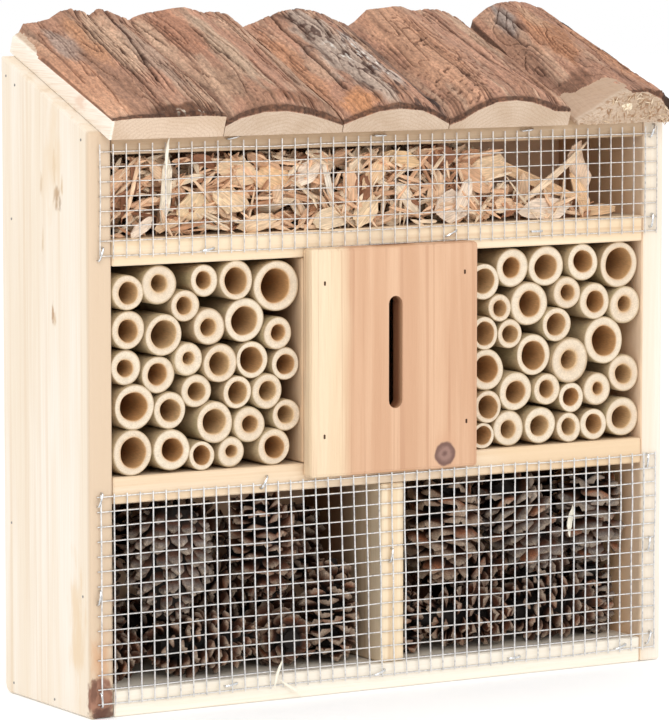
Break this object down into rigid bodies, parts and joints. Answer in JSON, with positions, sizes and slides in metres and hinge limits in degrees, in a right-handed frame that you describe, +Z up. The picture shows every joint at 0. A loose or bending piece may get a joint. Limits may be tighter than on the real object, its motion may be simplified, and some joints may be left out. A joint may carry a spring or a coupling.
{
  "type": "insect hotel",
  "caption": "Open-fronted pine box with a sloping bark slab roof, wire mesh, a slotted butterfly chamber, and bamboo tubes, pine cones and wood chips inside.",
  "frame": {"origin": "centre of the bounding box, at the ground", "axes": "+X to the right as seen from the front, +Y to the back, +Z up; the front faces -Y"},
  "size_m": [0.295, 0.0966, 0.3],
  "materials": {
    "pine_board": "pale planed pine, unvarnished",
    "front_board": "pinkish planed wood, unvarnished",
    "bark": "rough bark over pale sawn wood",
    "wire": "galvanised",
    "bamboo": "cut bamboo, satin skin",
    "pine_cone": "dry, matt",
    "wood_chip": "torn and splintered"
  },
  "bodies": {
    "root": {"left_side_panel": "pine_board", "right_side_panel": "pine_board", "base_board": "pine_board", "lower_shelf": "pine_board", "upper_shelf": "pine_board", "top_board": "pine_board", "back_panel": "pine_board", "lower_divider": "pine_board", "left_upright": "pine_board", "right_upright": "pine_board", "butterfly_front": "front_board", "roof_slab_1": "bark", "roof_slab_2": "bark", "roof_slab_3": "bark", "roof_slab_4": "bark", "roof_slab_5": "bark", "upper_wire_mesh": "wire", "lower_wire_mesh": "wire", "bamboo_left_01": "bamboo", "bamboo_left_02": "bamboo", "bamboo_left_03": "bamboo", "bamboo_left_04": "bamboo", "bamboo_left_05": "bamboo", "bamboo_left_06": "bamboo", "bamboo_left_07": "bamboo", "bamboo_left_08": "bamboo", "bamboo_left_09": "bamboo", "bamboo_left_10": "bamboo", "bamboo_left_11": "bamboo", "bamboo_left_12": "bamboo", "bamboo_left_13": "bamboo", "bamboo_left_14": "bamboo", "bamboo_right_01": "bamboo", "bamboo_right_02": "bamboo", "bamboo_right_03": "bamboo", "bamboo_right_04": "bamboo", "bamboo_right_05": "bamboo", "bamboo_right_06": "bamboo", "bamboo_right_07": "bamboo", "bamboo_right_08": "bamboo", "bamboo_right_09": "bamboo", "bamboo_right_10": "bamboo", "bamboo_right_11": "bamboo", "bamboo_right_12": "bamboo", "bamboo_right_13": "bamboo", "bamboo_right_14": "bamboo", "bamboo_right_15": "bamboo", "pine_cone_left_1": "pine_cone", "pine_cone_left_2": "pine_cone", "pine_cone_left_3": "pine_cone", "pine_cone_left_4": "pine_cone", "pine_cone_left_5": "pine_cone", "pine_cone_left_6": "pine_cone", "pine_cone_right_1": "pine_cone", "pine_cone_right_2": "pine_cone", "pine_cone_right_3": "pine_cone", "pine_cone_right_4": "pine_cone", "pine_cone_right_5": "pine_cone", "pine_cone_right_6": "pine_cone", "wood_chips": "wood_chip"}
  },
  "joints": []
}
